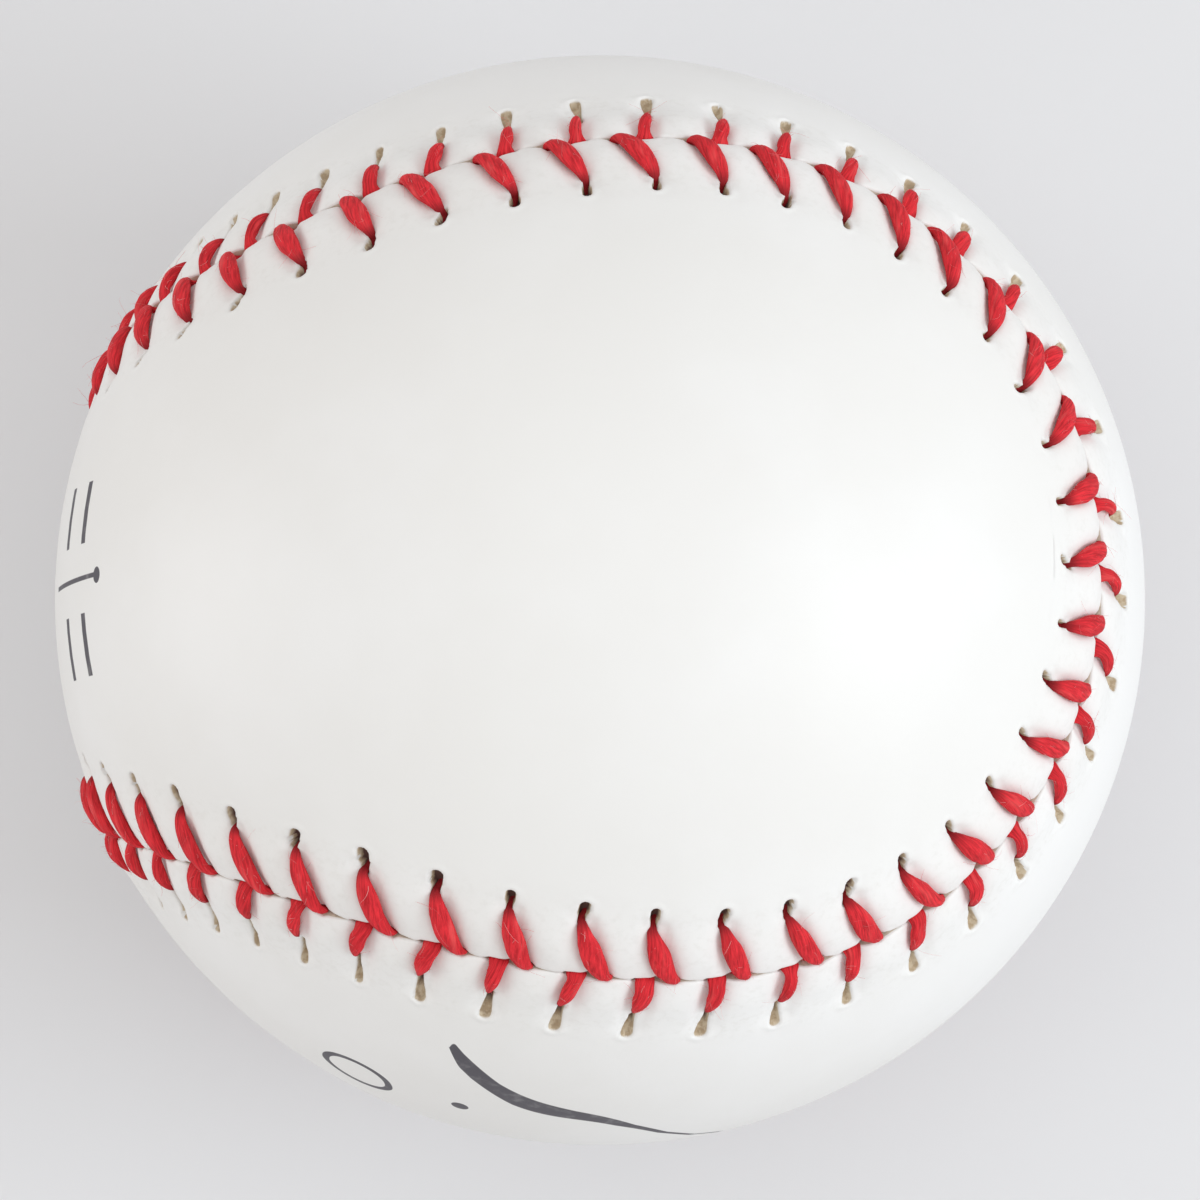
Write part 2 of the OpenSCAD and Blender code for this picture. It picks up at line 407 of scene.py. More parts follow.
def worked_leather(k, across, reach, side, seed):
    """How high the leather stands by the seam, in millimetres. It swells between the strands,
    sinks in a bed under each, slopes down to its edge, and is creased and rippled."""
    share = np.clip(1 - reach, 0, 1)
    nearest = np.round(column_k - (dive_at(column_k, side) - hole_at(column_k, side)) * share)
    under = column_k - nearest - (dive_at(nearest, side) - hole_at(nearest, side)) * share
    swell = 1 + 0.35 * value_noise(k, 0 * k + 0.5, seed + 3, stitches)
    between = np.sin(np.pi * under) ** 2
    swelling = 0.20 * swell * between * np.exp(-(((across - 1.9) / 1.5) ** 2))
    bed = np.exp(-((under * stitch_pitch / mm / 0.85) ** 4)) * (1 - smooth(reach, 0.85, 1.1))
    slope = -0.12 * np.exp(-((across / 0.8) ** 2)) * (1 - 0.6 * between)
    creases = 0.018 * value_noise(k * 9, across * 0.7, seed, stitches * 9) * (1 - smooth(reach, 0.9, 1.3))
    ripples = 0.03 * value_noise(k * 1.0, across * 0.35, seed + 1, stitches)
    ripples = ripples * smooth(reach, 0.3, 1.0) * (1 - smooth(reach, 1.1, 1.35))
    return swelling - 0.28 * bed + slope + creases + ripples


def parted_edges(k, across, row_sunk, side, seed):
    """Puts the points in step with the panel's own holes, then moves them from the seam where
    the flat strands dive. A crescent stays open ahead of each dive: there the skin draws back
    and the tan cut shows."""
    k = k + hole_at(column_k, side) - np.mod(column_k, stitches)
    last_dive = np.floor(k - (dive_at(k, 1) - np.mod(k, stitches)) + 0.66)
    ahead = k - last_dive - (dive_at(last_dive, 1) - np.mod(last_dive, stitches))
    opened = smooth(ahead, -0.54, -0.46) * (1 - smooth(ahead, 0.12, 0.19))
    ahead = np.mod(ahead, 1)
    crescent = smooth(ahead, 0.06, 0.14) * (1 - smooth(ahead, 0.16, 0.5)) * (1 - smooth(row_sunk, 0.15, 0.5))
    gape = 0.34 * smooth(value_noise(k * 0.4, 0 * k + 2.5, 9, 36), -0.5, 0.9)
    fray = np.abs(0.03 * value_noise(k * 7, across * 2, seed + 2, stitches * 7)) * np.exp(-across / 0.3)
    return k, across + (0.24 * opened + gape * crescent) * np.exp(-across / 0.45) + fray


def closed_panel(band, side, first):
    """Joins the rows of a band into quads, and fills its ring of points at the top, over the
    lobes and waist, and at the bottom, on the flesh side. Gives points, quads and end faces."""
    rows = len(band)
    grid = np.arange(rows * columns).reshape(rows, columns)
    ahead = np.roll(grid, -1, axis=1)
    quads = [np.stack([grid[:-1], ahead[:-1], ahead[1:], grid[1:]], -1).reshape(-1, 4)[:, ::side]]
    points, end_faces = [band.reshape(-1, 3)], []
    count = rows * columns
    for row, inner, r, upward in ((rows - 1, 14, ball_r, True), (0, 5, ball_r - cover_t, False)):
        inside, left, right = rungs_between(band[row], first, inner)
        number = count + np.arange(len(inside)).reshape(len(left), inner)
        rungs = np.concatenate([grid[row][left][:, None], number, grid[row][right][:, None]], 1)
        faces = np.stack([rungs[:-1, :-1], rungs[:-1, 1:], rungs[1:, 1:], rungs[1:, :-1]], -1).reshape(-1, 4)
        opposite = grid[row][(first + columns // 2) % columns]
        ends = [np.append(rungs[0][::-1], grid[row][first]), np.append(rungs[-1], opposite)]
        if (side > 0) != upward:
            faces, ends = faces[:, ::-1], [end[::-1] for end in ends]
        quads.append(faces)
        end_faces += ends
        points.append(inside * r)
        count += len(inside)
    return np.concatenate(points), np.concatenate(quads), end_faces


def panel_piece(name, side, first, seed):
    """One panel as a closed shell: its rolled edge, the band that the holes and the thread
    shape, the smooth lobes and waist, and the flesh side underneath."""
    row_across = np.array([row[0] for row in rolled_edge] + list(plain_rows[side]))
    row_sunk = np.array([row[1] for row in rolled_edge] + [0] * len(plain_rows[side]))[:, None]
    k = column_k[None, :] + np.zeros((len(row_across), 1))
    across = row_across[:, None] + np.zeros((1, columns))
    reach = across / (hole_offset / mm)
    slots = stitch_slots(k, across, side, seed)
    k, across = slots["k"], slots["across"]
    top = smooth(-row_sunk, -1.0, -0.3)
    height = (slots["pulled"] + worked_leather(k, across, reach, side, seed) + slots["lip"]) * top
    radius = np.minimum(ball_r + (height - slots["pit"] - row_sunk) * mm, ball_r + 0.4 * mm)
    k, across = parted_edges(k, across, row_sunk, side, seed)
    band = on_ball(k, side * across * mm, radius)
    band[0] = unit(band[0]) * (ball_r - cover_t)
    points, quads, end_faces = closed_panel(band, side, first)
    # none of these is drawn on the lobes, the waist or the flesh side
    drawn = {
        "hole": slots["within"],
        "cut": smooth(row_sunk, 0.08, 0.25),
        "lit": slots["lit"],
        "worked": (1 - smooth(reach, 0.9, 1.4)) * top,
    }
    plain = np.zeros(len(points) - k.size)
    attributes = {key: np.append(np.broadcast_to(value, k.shape), plain) for key, value in drawn.items()}
    return new_piece(name, points, quads, end_faces, attributes)


def printed_marks(finish, where):
    """Plain marks in dark ink, 1 where there is ink: bars and a rule with a blot on panel
    A's waist, and a wavy stroke, a ring and a dot on panel B."""

    def along(x, y, z):
        axis = (x / mm, y / mm, z / mm)
        return finish.node("VectorMath", {"operation": "DOT_PRODUCT"}, out="Value", _0=where, _1=axis)

    def from_place(x, y, z):
        place = tuple(unit(np.array((x, y, z))) * ball_r)
        return finish.node("VectorMath", {"operation": "DISTANCE"}, out="Value", _0=where, _1=place) / mm

    def within(distance, limit):
        return 1 - distance.ramp(limit, limit + 0.06)

    x, y, z = along(1, 0, 0), along(0, 1, 0), along(0, 0, 1)
    on_waist = 1 - within(0 - x, 27.0)
    bars = within(abs(abs(y + 0.5) - 4.3), 2.0) * within(abs(abs(z - 16.0) - 1.7), 0.32)
    rule = within(abs(y + 0.5), 0.13) * within(abs(z - 15.7), 4.5)
    waist = bars.at_least(rule) * on_waist
    blot = within(from_place(-0.84, -0.015, 0.543), 0.5)
    # the stroke falls as it runs to +X, waves once and thins out
    wave = (x * 0.42 + 0.6).sine() * 1.5
    from_stroke = abs(z - 11.2 + x * 1.02 - wave)
    thick = (x + 8.2).ramp(0.0, 0.5) ** 0.5 * 1.15 - (x + 8.0).ramp(0.0, 18.0) * 0.95
    stroke = (1 - (from_stroke - thick).ramp(0.0, 0.1)) * within(abs(x - 0.8), 9.0) * (0 - y).ramp(20.0, 20.1)
    ring = within(abs(from_place(-0.41, -0.87, 0.275) - 2.3), 0.24)
    spot = within(from_place(-0.225, -0.93, 0.30), 0.55)
    return waist.at_least(blot).at_least(stroke).at_least(ring).at_least(spot)


def leather():
    """White hide with a soft sheen: pale warm patches, fine grain and pores, short creases by
    the seam, and tan flesh in the holes and along the cut edges. Down in the holes the flesh
    turns to painted shade, and painted light lifts it on each hole's far wall."""
    finish = Finish("white_leather", IOR=1.45)
    where = finish.place()
    patches = finish.noise(where, 45.0, 4.0)
    grain = finish.noise(where, 1900.0, 3.0, 0.6)
    folds = finish.noise(where, 420.0, 2.0)
    hole, cut = finish.attribute("hole"), finish.attribute("cut")
    worked = finish.attribute("worked")
    skin = finish.blend(patches.ramp(0.35, 0.7), (0.845, 0.835, 0.815, 1), (0.885, 0.88, 0.87, 1))
    skin = finish.blend(worked * grain.ramp(0.45, 0.75) * 0.35, skin, (0.76, 0.745, 0.715, 1))
    fuzz = finish.noise(where, 2600.0).ramp(0.4, 0.6)
    flesh = finish.blend(fuzz, (0.47, 0.36, 0.24, 1), (0.62, 0.52, 0.38, 1))
    # painted shade down in the holes, lifted where lit paints light on the far wall
    shadow = hole.ramp(0.1, 0.5) * (1.0 - finish.attribute("lit"))
    flesh_in_painted_shade = finish.blend(shadow, flesh, (0.105, 0.050, 0.042, 1))
    bare = (hole.ramp(0.0, 0.14) + cut.ramp(0.3, 0.9) * 0.75).at_most(1.0)
    colour = finish.blend(bare, skin, flesh_in_painted_shade)
    ink = printed_marks(finish, where) * (1.0 - bare)
    worn = finish.noise(where, 900.0, 3.0).ramp(0.25, 0.5) * 0.12 + 0.86
    colour = finish.blend(ink * worn, colour, (0.06, 0.054, 0.07, 1))
    rough = 0.40 + patches * 0.10 + bare * 0.35 + worked * 0.06 + ink * 0.08
    normal = finish.bump(grain * 0.5 + folds * (0.6 + worked * 1.6), 0.00003, 0.55)
    return finish.feed(Base_Color=colour, Roughness=rough, Normal=normal)


white_leather = leather()
for name, side, first, seed in (("cover_a", 1, columns // 4, 11), ("cover_b", -1, 0, 23)):
    panel = panel_piece(name, side, first, seed)
    panel.data.materials.append(white_leather)
    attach(panel, "root")
    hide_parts("cover_panel_" + name[-1])


# ---- Seam thread -------------------------------------------------------------------------
# One waxed red four-ply cotton thread, sewn by hand with a needle at each end. Each needle
# comes up through a hole, crosses the leather, dives between the cut edges and goes under the
# other panel to that panel's next hole, so the two make a row of V's.

run_r = ball_r - cover_t - 0.16 * mm


def one_stitch(side, run):
    """Stations of one stitch, from its hole to its dive, run stitches further on: stitches
    ahead, millimetres from the seam towards its own side, radius less the ball's in
    millimetres, width, height, and rings to the next station."""
    under = (run_r - ball_r) / mm
    if side > 0:
        over = [
            (0.0, 4.70, under, 0.68, 0.32, 2),
            (0.0, 4.08, -0.85, 0.58, 0.52, 3),
            (0.03 * run, 3.94, -0.32, 0.62, 0.58, 4),
            (0.17 * run, 3.50, 0.06, 0.92, 0.74, 6),
            (0.44 * run, 2.55, 0.26, 1.32, 0.92, 6),
            (0.78 * run, 1.30, 0.27, 1.30, 0.88, 5),
            (1.10 * run, 0.42, 0.12, 1.02, 0.64, 4),
            (1.30 * run, 0.05, -0.30, 0.74, 0.42, 2),
        ]
    else:
        over = [
            (0.0, 4.20, under, 0.60, 0.32, 2),
            (0.0, 3.05, -0.85, 0.34, 0.44, 3),
            (0.06 * run, 2.84, -0.32, 0.34, 0.42, 4),
            (0.25 * run, 2.38, 0.00, 0.54, 0.54, 6),
            (0.54 * run, 1.62, 0.20, 1.02, 0.80, 6),
            (0.80 * run, 0.85, 0.18, 1.14, 0.74, 5),
            (0.97 * run, 0.34, 0.00, 1.18, 0.56, 4),
            (1.00 * run, 0.02, -0.32, 1.25, 0.44, 2),
        ]
    return [*over, (run, -0.08, -0.80, 1.15, 0.40, 2), (run + 0.05, -0.95, under, 1.25, 0.32, 1)]


around = 26
twist_length = 15.0 * mm
# how far the flat of the thread turns to lie square to its run, station by station
lies_square = (1, 1, 1, 1, 1, 0.6, -0.2, -0.2, 0, 0)


def needle_stations(parity, seed):
    """All the stations of one needle's route, and the rings between each two. Each strand is
    a little fatter, taller or further on than the next."""
    rng = np.random.default_rng(seed)
    rows, rings = [], []
    for k in range(stitches):
        side = 1 if (k + parity) % 2 == 0 else -1
        hole = hole_at(k, side)
        run = dive_at(k, side) - hole
        fat = rng.uniform(0.92, 1.08) if side > 0 else rng.uniform(0.68, 1.06)
        tall, lean = rng.uniform(0.92, 1.08), rng.uniform(-0.03, 0.03)
        for n, (ahead, across, sunk, width, height, more) in enumerate(one_stitch(side, run)):
            showing = 2 <= n <= 5
            turn_across = side * run * stitch_pitch * lies_square[n]
            # painted shade: the thread darkens as it goes down into its hole
            painted_hole_shade = smooth(across, 3.5, 3.9) if side > 0 else smooth(across, 2.4, 2.8)
            rows.append((hole + ahead + (lean if showing else 0), side * across * mm, ball_r + sunk * mm,
                         width * (fat if 2 <= n <= 6 else 1) * mm, height * (tall if showing else 1) * mm,
                         turn_across, painted_hole_shade))
            rings.append(more)
    # the last stitch's run under the cover leads nowhere
    return np.array(rows[:-1]), np.array(rings[:-2])


def through_stations(rows, rings):
    """Catmull-Rom curves: half of 2 p1 + (p2 - p0) t + (2 p0 - 5 p1 + 4 p2 - p3) t squared
    + (3 p1 - p0 - 3 p2 + p3) t cubed, from each station p1 to the next one p2."""
    before = np.concatenate([rows[:1], rows[:-2]])
    after = np.concatenate([rows[2:], rows[-1:]])
    segment = np.repeat(np.arange(len(rings)), rings)
    t = np.concatenate([np.arange(n) / n for n in rings])[:, None]
    p0, p1, p2, p3 = before[segment], rows[:-1][segment], rows[1:][segment], after[segment]
    return 0.5 * (2 * p1 + (p2 - p0) * t + (2 * p0 - 5 * p1 + 4 * p2 - p3) * t**2
                  + (3 * p1 - p0 - 3 * p2 + p3) * t**3)


def needle_piece(name, parity, seed):
    """Sweeps an oval of four twisted plies along one needle's route. At an angle a from the
    plies its radius is 0.93 + 0.07 |cos 2a| to the power 0.7, with a little noise."""
    flow = through_stations(*needle_stations(parity, seed))
    k, across, radius, width, height, turn_across, painted_hole_shade = flow.T
    centre_line = on_ball(k, across, radius)
    _, forward, to_a = seam_axes(k)
    flat = unit(forward * hole_offset + to_a * turn_across[:, None])
    ahead = np.gradient(centre_line, axis=0)
    ahead = unit(ahead - flat * (ahead * flat).sum(1, keepdims=True))
    stand = np.cross(ahead, flat)
    travelled = np.concatenate([[0], np.cumsum(np.linalg.norm(np.diff(centre_line, axis=0), axis=1))])
    theta = np.arange(around) / around * 2 * np.pi
    twist = travelled / twist_length * 2 * np.pi
    ply = theta[None, :] - twist[:, None]
    bulge = 0.93 + 0.07 * np.abs(np.cos(2 * ply)) ** 0.7
    bulge = bulge + 0.05 * value_noise(ply / (2 * np.pi) * 22, travelled[:, None] / mm * 0.8 + 0 * ply, seed)
    wide = (width / 2)[:, None] * np.cos(theta) * bulge
    tall = (height / 2)[:, None] * np.sin(theta) * bulge
    points = centre_line[:, None] + flat[:, None] * wide[..., None] + stand[:, None] * tall[..., None]
    count = len(centre_line)
    grid = np.arange(count * around).reshape(count, around)
    ahead_grid = np.roll(grid, -1, axis=1)
    quads = np.stack([grid[:-1], ahead_grid[:-1], ahead_grid[1:], grid[1:]], -1).reshape(-1, 4)
    # the painted shade by the holes goes with the piece as a point attribute
    piece = new_piece(name, points.reshape(-1, 3), quads, [grid[0][::-1], grid[-1]],
                      {"painted_hole_shade": np.repeat(painted_hole_shade, around)})
    # the piece's own map: round the thread in turns less its twist, and along it in millimetres
    turn = np.append(ply, ply[:, :1] + 2 * np.pi, axis=1) / (2 * np.pi)
    u = np.stack([turn[:-1, :-1], turn[:-1, 1:], turn[1:, 1:], turn[1:, :-1]], -1).reshape(-1)
    length = travelled / mm
    v = np.stack([length[:-1], length[:-1], length[1:], length[1:]], -1)[:, None] + np.zeros((1, around, 1))
    fibre_map = np.zeros((len(piece.data.loops), 2), np.float32)
    fibre_map[: u.size, 0], fibre_map[: u.size, 1] = u, v.reshape(-1)
    piece.data.uv_layers.new(name="fibres").data.foreach_set("uv", fibre_map.ravel())
    return piece, centre_line, flat, stand, width, height, radius


def waxed_thread():
    """Red cotton: fine fibres along the plies, paler where they fray. The fibre streaks are
    partly the cotton's uneven red and partly painted shade, darkest where the bump sinks between
    them, and painted shade darkens the thread where it goes down into the holes.
    """
    finish = Finish("red_thread", Specular_IOR_Level=0.3)
    fibres = finish.node("UVMap", {"uv_map": "fibres"})
    stretched = finish.node("Mapping", Vector=fibres, Scale=(26.0, 0.75, 1.0))
    strands = finish.noise(stretched, 1.0, 4.0, 0.65)
    coarse = finish.noise(finish.node("Mapping", Vector=fibres, Scale=(7.0, 0.3, 1.0)), 1.0, 2.0)
    blotch = finish.noise(finish.place(), 260.0, 2.0)
    # partly painted shade: the streaks go dark where the same noise sinks the bump between fibres
    colour = finish.blend(strands.ramp(0.3, 0.68), (0.42, 0.006, 0.012, 1), (0.88, 0.030, 0.044, 1))
    colour = finish.blend(coarse.ramp(0.52, 0.75) * 0.6, colour, (0.90, 0.10, 0.10, 1))
    colour = finish.blend(blotch.ramp(0.5, 0.75) * 0.35, colour, (0.46, 0.006, 0.014, 1))
    # painted shade: darkens the thread where it goes down into the holes
    painted_hole_shade = finish.attribute("painted_hole_shade")
    colour = finish.blend(painted_hole_shade * 0.75, colour, (0.20, 0.004, 0.008, 1))
    normal = finish.bump(strands + coarse * 0.6, 0.00010, 0.9)
    return finish.feed(Base_Color=colour, Roughness=0.62 + strands * 0.2, Normal=normal)


red_thread = waxed_thread()
routes = []
for name, parity, seed in (("thread_first_needle", 0, 5), ("thread_second_needle", 1, 6)):
    thread, *route = needle_piece(name, parity, seed)
    routes.append(route)
    thread.data.materials.append(red_thread)
    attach(thread, "root")
    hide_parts("seam_" + name)


# ---- Lint --------------------------------------------------------------------------------
# Broken cotton fibres that stand up from the thread or lie curled on it. Some have lost
# their dye where the needle and the leather rubbed them.


def lint_piece(name, routes, hairs, seed):
    """Each hair is a three-sided tube along a curve: from a point on a strand, along the
    strand and out, with two random bends that grow as the square and cube of its length."""
    rng = np.random.default_rng(seed)
    rings = 5
    starts, aheads, outs, sides = [], [], [], []
    for centre_line, flat, stand, width, height, radius in routes:
        top = np.flatnonzero((radius > ball_r + 0.05 * mm)[:-1])
        pick = rng.choice(top, hairs // len(routes))
        ahead = unit(centre_line[pick + 1] - centre_line[pick])
        out = unit(centre_line[pick])
        theta = rng.uniform(-1.35, 1.35, len(pick))[:, None]
        side = unit(flat[pick])
        rise = stand[pick] * np.sign((stand[pick] * out).sum(1, keepdims=True))
        start = centre_line[pick] + side * width[pick, None] / 2 * np.sin(theta)
        starts.append(start + rise * height[pick, None] / 2 * np.cos(theta))
        normal = unit(side * np.sin(theta) + rise * np.cos(theta))
        aheads.append(ahead * rng.choice([-1, 1], len(pick))[:, None])
        outs.append(normal)
        sides.append(np.cross(normal, ahead))
    start, ahead, out, side = (np.concatenate(v) for v in (starts, aheads, outs, sides))
    count = len(start)
    length = np.minimum(rng.gamma(2.2, 0.2, count), 1.5)[:, None, None] * mm
    lift, sweep, curl, bend = (rng.normal(m, d, count)[:, None, None]
                               for m, d in ((0.1, 0.16), (0.0, 0.5), (-0.15, 0.35), (0.0, 0.8)))
    t = np.linspace(0, 1, rings)[None, :, None]
    path = start[:, None] + length * (
        ahead[:, None] * t * 0.9 + out[:, None] * (np.abs(lift) * t + curl * t**3 * 0.5)
        + side[:, None] * (sweep * t + bend * t**2))
    path = path - out[:, None] * 0.03 * mm
    # no hair goes under the leather or far out from it
    far = np.linalg.norm(path, axis=2, keepdims=True)
    path = path / far * np.clip(far, ball_r + 0.03 * mm, ball_r + 1.5 * mm)
    along = unit(np.gradient(path, axis=1))
    u = unit(np.cross(along, out[:, None] + 0.31 * side[:, None]))
    w = np.cross(along, u)
    thick = rng.uniform(0.007, 0.013, count)[:, None, None] * mm * (1 - 0.6 * t)
    third = 2 * math.pi / 3
    corners = [path + thick * (u * math.cos(n * third) + w * math.sin(n * third)) for n in range(3)]
    points = np.stack(corners, 2)
    grid = np.arange(count * rings * 3).reshape(count, rings, 3)
    turned = np.roll(grid, -1, axis=2)
    quads = np.stack([grid[:, :-1], turned[:, :-1], turned[:, 1:], grid[:, 1:]], -1).reshape(-1, 4)
    ends = np.concatenate([grid[:, 0, ::-1], grid[:, -1]])
    pale = np.repeat(rng.uniform(0, 1, count) ** 3, rings * 3)
    return new_piece(name, points.reshape(-1, 3), quads, list(ends), {"pale": pale})


def cotton_lint():
    """Loose cotton, from full red to almost white."""
    finish = Finish("cotton_lint", Roughness=0.8)
    colour = finish.blend(finish.attribute("pale"), (0.72, 0.03, 0.045, 1), (0.92, 0.62, 0.60, 1))
    return finish.feed(Base_Color=colour)


lint = lint_piece("thread_lint", routes, 4000, 8)
lint.data.materials.append(cotton_lint())
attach(lint, "root")


# ---- Cement ------------------------------------------------------------------------------
# A brushed coat of rubber cement, a tenth of a millimetre thick, that holds the damp leather
# down on the wound yarn while it is sewn.


def turned_shell(name, outer, inner, relief, low=-1.0, high=1.0, rings=96, around=192):
    """A closed shell of revolution between two radii, or a solid one when the inner radius is
    0, cut off flat at two heights given as shares of the outer radius. Its outer radius at
    each direction is outer + relief(direction)."""

    def wall(radius, bottom, top, rough):
        ends = [math.asin(max(-1, min(1, height / radius))) for height in (bottom, top)]
        lat = np.linspace(*ends, rings)[:, None]
        lon = (np.arange(around) / around * 2 * np.pi)[None, :]
        ray = np.stack([np.cos(lat) * np.cos(lon), np.cos(lat) * np.sin(lon), np.sin(lat) + 0 * lon], -1)
        edge = np.minimum(np.arange(rings), np.arange(rings)[::-1])[:, None, None]
        return ray * (radius + (relief(ray)[..., None] * np.clip(edge / 3, 0, 1) if rough else 0))

    # up the outer wall, and back down the inner one
    bottom, top = low * outer, high * outer
    walls = [wall(outer, bottom, top, True)]
    if inner:
        walls.append(wall(inner, bottom, top, False)[::-1])
    points = np.concatenate(walls)
    grid = np.arange(len(points) * around).reshape(len(points), around)
    loop = np.concatenate([grid, grid[:1]])
    ahead = np.roll(loop, -1, axis=1)
    quads = np.stack([loop[:-1], ahead[:-1], ahead[1:], loop[1:]], -1)
    # nothing joins the walls, or closes the loop, at a pole
    joined = np.ones(len(quads), bool)
    joined[rings - 1] = bool(inner) and high < 1
    joined[-1] = bool(inner) and low > -1
    piece = new_piece(name, points.reshape(-1, 3), quads[joined].reshape(-1, 4))
    merge_close(piece)
    return piece


def merge_close(piece):
    """Joins points that coincide, such as the rings of points at a sphere's poles."""
    work = bmesh.new()
    work.from_mesh(piece.data)
    bmesh.ops.remove_doubles(work, verts=work.verts, dist=1e-7)
    bmesh.ops.dissolve_degenerate(work, edges=work.edges, dist=1e-8)
    work.to_mesh(piece.data)
    work.free()


def ray_noise(ray, scale, seed):
    """Smooth noise from -1 to 1 over directions: three sheets of value noise, one for each
    pair of axes."""
    x, y, z = (ray[..., n] * scale + 200 for n in range(3))
    return (value_noise(x, y, seed) + value_noise(y, z, seed + 1) + value_noise(z, x, seed + 2)) / 3


def half_size(node):
    low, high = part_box(node)
    return (high[0] - low[0]) / 2


def place_inside(piece, node, material):
    """Puts a piece that lies inside the ball in the place of its CAD node."""
    piece.data.materials.append(material)
    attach(piece, "root")
    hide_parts(node)


def dried_cement():
    """Amber rubber cement with brush streaks and thin spots."""
    finish = Finish("rubber_cement", Roughness=0.3, Coat_Roughness=0.2)
    where = finish.place()
    streaks = finish.noise(finish.node("Mapping", Vector=where, Scale=(1.0, 1.0, 6.0)), 160.0, 3.0)
    colour = finish.blend(streaks.ramp(0.3, 0.7), (0.55, 0.43, 0.22, 1), (0.78, 0.70, 0.50, 1))
    normal = finish.bump(streaks, 0.0001, 0.6)
    return finish.feed(Base_Color=colour, Roughness=0.22 + streaks * 0.3, Normal=normal)


cement_r = half_size("cement_coat")
cement_t = 0.1 * mm
cement = turned_shell("cement_film", cement_r - 0.03 * mm, cement_r - cement_t,
                      lambda ray: 0.025 * mm * ray_noise(ray * (1, 1, 3), 9, 31))
place_inside(cement, "cement_coat", dried_cement())


# ---- Windings ----------------------------------------------------------------------------
# Four layers of yarn wound tight by machine over the pill: thick grey wool, a little white
# wool, thin grey wool, and a fine cotton and polyester finish that the cement soaks into.
# Each layer is a packed bed with its outermost turns lying over it.


def wound_layer(name, outer, inner, yarn, loops, seed):
    """A closed bed between two radii and, over it, loops of yarn along circles that pass near
    the ball's widest part at random slants. Each loop is an oval tube with two plies."""
    rng = np.random.default_rng(seed)
    segments, sides = 120, 8
    ride_r = outer - yarn * 0.36
    axis = unit(rng.normal(size=(loops, 3)))
    aside = rng.uniform(-0.22, 0.22, loops)[:, None] * ride_r
    first = unit(np.cross(axis, unit(rng.normal(size=(loops, 3)))))
    second = np.cross(axis, first)
    angle = (np.arange(segments) / segments * 2 * np.pi)[None, :, None]
    wobble = 0.35 * yarn * np.sin(angle * 7 + rng.uniform(0, 6, loops)[:, None, None])
    path = first[:, None] * np.cos(angle) + second[:, None] * np.sin(angle)
    path = path * np.sqrt(ride_r**2 - aside[:, None] ** 2) + axis[:, None] * (aside[:, None] + wobble)
    path = unit(path) * ride_r
    out = unit(path)
    level = unit(np.cross(out, np.roll(path, -1, axis=1) - np.roll(path, 1, axis=1)))
    theta = (np.arange(sides) / sides * 2 * np.pi)[None, None, :]
    plies = 0.86 + 0.14 * np.abs(np.cos(theta - angle * 22))
    points = path[:, :, None] + yarn * 0.5 * plies[..., None] * (
        level[:, :, None] * np.cos(theta)[..., None] + out[:, :, None] * 0.72 * np.sin(theta)[..., None])
    grid = np.arange(loops * segments * sides).reshape(loops, segments, sides)
    turned, ahead = np.roll(grid, -1, axis=2), np.roll(grid, -1, axis=1)
    quads = np.stack([grid, turned, np.roll(ahead, -1, axis=2), ahead], -1).reshape(-1, 4)
    bed = turned_shell(name + "_bed", outer - yarn * 0.55, inner,
                       lambda ray: 0.1 * yarn * ray_noise(ray, 40, seed), rings=64, around=128)
    bed_points = np.empty(len(bed.data.vertices) * 3, np.float32)
    bed.data.vertices.foreach_get("co", bed_points)
    bed_faces = [np.array(face.vertices) + grid.size for face in bed.data.polygons]
    bpy.data.objects.remove(bed)
    points = np.concatenate([points.reshape(-1, 3), bed_points.reshape(-1, 3)])
    return new_piece(name, points, quads, bed_faces)


def yarn_finish(name, dark, light, scale):
    """Spun yarn: fine fibres and soft mottling between two shades."""
    finish = Finish(name, Sheen_Weight=0.3)
    where = finish.place()
    fibres = finish.noise(where, scale, 5.0, 0.7)
    mottle = finish.noise(where, scale * 0.12, 2.0)
    colour = finish.blend(fibres.ramp(0.3, 0.7) * 0.7 + mottle * 0.3, dark, light)
    normal = finish.bump(fibres, 0.00012, 0.8)
    return finish.feed(Base_Color=colour, Roughness=0.8 + fibres * 0.15, Normal=normal)


grey_wool = yarn_finish("grey_wool", (0.20, 0.20, 0.205, 1), (0.46, 0.45, 0.44, 1), 1500.0)
white_wool = yarn_finish("white_wool", (0.62, 0.58, 0.50, 1), (0.88, 0.86, 0.80, 1), 1500.0)
finish_yarn = yarn_finish("finish_yarn", (0.70, 0.67, 0.60, 1), (0.90, 0.885, 0.84, 1), 2600.0)
windings = (
    ("finish_winding", "third_winding", 0.30 * mm, "finish_yarn", finish_yarn, 41),
    ("third_winding", "second_winding", 1.1 * mm, "grey_wool", grey_wool, 42),
    ("second_winding", "first_winding", 1.1 * mm, "white_wool", white_wool, 43),
    ("first_winding", "pill_jacket", 1.5 * mm, "grey_wool", grey_wool, 44),
)
turns_shown = 84
for node, inside, yarn, slot, material, seed in windings:
    name = node.replace("_winding", "_yarn")
    layer = wound_layer(name, half_size(node), half_size(inside), yarn, turns_shown, seed)
    place_inside(layer, node, material)


# ---- Pill --------------------------------------------------------------------------------
# The centre: a ball of ground cork and rubber, held in two black rubber cups whose rims meet
# on two thin red washers, all moulded into a red rubber jacket.


def moulded_rubber(name, dark, light):
    """Moulded rubber with a dusty bloom and fine pits."""
    finish = Finish(name, IOR=1.5)
    where = finish.place()
    bloom = finish.noise(where, 220.0, 4.0)
    pits = finish.noise(where, 1400.0, 2.0)
    colour = finish.blend(bloom.ramp(0.35, 0.75), dark, light)
    normal = finish.bump(pits, 0.00006, 0.6)
    return finish.feed(Base_Color=colour, Roughness=0.55 + bloom * 0.25, Normal=normal)


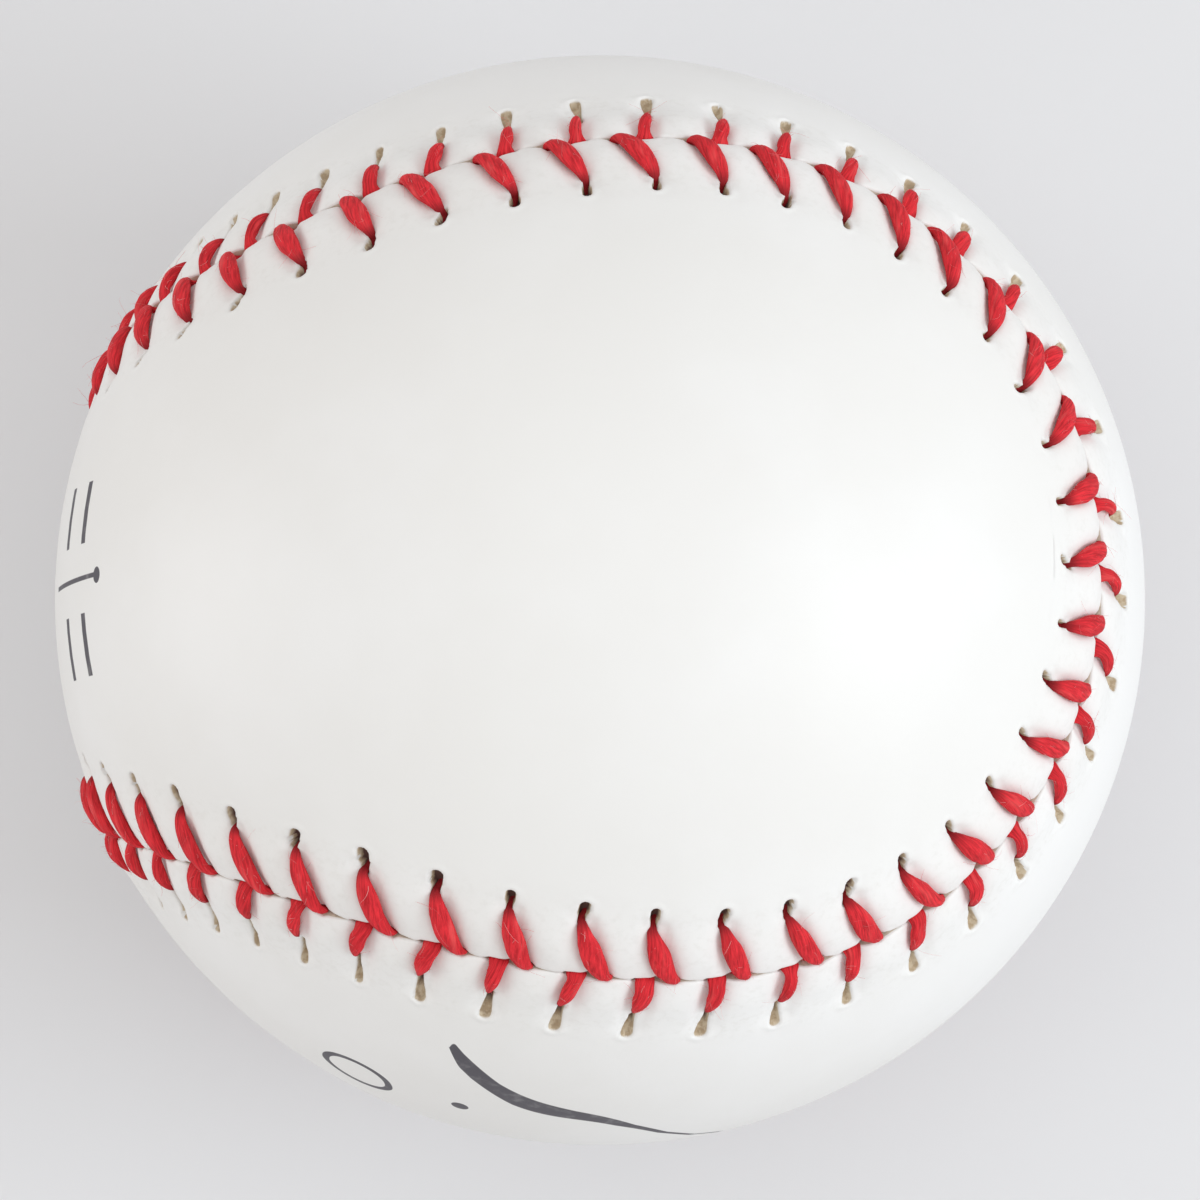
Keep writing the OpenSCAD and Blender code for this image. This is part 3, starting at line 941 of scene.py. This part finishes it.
def ground_cork():
    """Cork granules bound with dark rubber."""
    finish = Finish("composition_cork")
    where = finish.place()
    granules = finish.node("TexVoronoi", out="Color", Vector=where, Scale=900.0)
    shade = finish.node("SeparateColor", Color=granules)
    gaps = finish.node("TexVoronoi", {"feature": "DISTANCE_TO_EDGE"}, Vector=where, Scale=900.0)
    edges = gaps.ramp(0.0, 0.1)
    colour = finish.blend(shade, (0.36, 0.20, 0.09, 1), (0.66, 0.44, 0.24, 1))
    colour = finish.blend(edges, (0.07, 0.045, 0.03, 1), colour)
    normal = finish.bump(edges, 0.00012, 0.7)
    return finish.feed(Base_Color=colour, Roughness=0.7 + shade * 0.2, Normal=normal)


jacket_r, cushion_r, core_r = (half_size(n) for n in ("pill_jacket", "cushion_shell_upper", "cork_core"))
washer_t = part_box("cushion_washer_upper")[1][2]
red_rubber = moulded_rubber("red_rubber", (0.34, 0.035, 0.03, 1), (0.46, 0.075, 0.06, 1))
black_rubber = moulded_rubber("black_rubber", (0.018, 0.018, 0.02, 1), (0.05, 0.05, 0.052, 1))


def parting_line(ray):
    """A fine flash round the equator, where the mould's halves met, and a faint unevenness."""
    return -0.12 * mm + 0.1 * mm * np.exp(-((ray[..., 2] / 0.012) ** 2)) + 0.02 * mm * ray_noise(ray, 8, 51)


jacket = turned_shell("pill_rubber_jacket", jacket_r, cushion_r, parting_line, rings=161)
place_inside(jacket, "pill_jacket", red_rubber)
for half, sign in (("upper", 1), ("lower", -1)):
    ends = sorted((sign * washer_t / cushion_r, sign * 1.0))
    cup = turned_shell("cushion_cup_" + half, cushion_r, core_r,
                       lambda ray: 0.03 * mm * (ray_noise(ray, 12, 61) - 1), *ends)
    place_inside(cup, "cushion_shell_" + half, black_rubber)
    ends = sorted((0.0, sign * washer_t / cushion_r))
    washer = turned_shell("cushion_ring_" + half, cushion_r, core_r,
                          lambda ray: 0 * ray[..., 0], *ends, rings=5)
    place_inside(washer, "cushion_washer_" + half, red_rubber)
core = turned_shell("cork_ball", core_r, 0, lambda ray: 0.08 * mm * (ray_noise(ray, 34, 71) - 1))
place_inside(core, "cork_core", ground_cork())
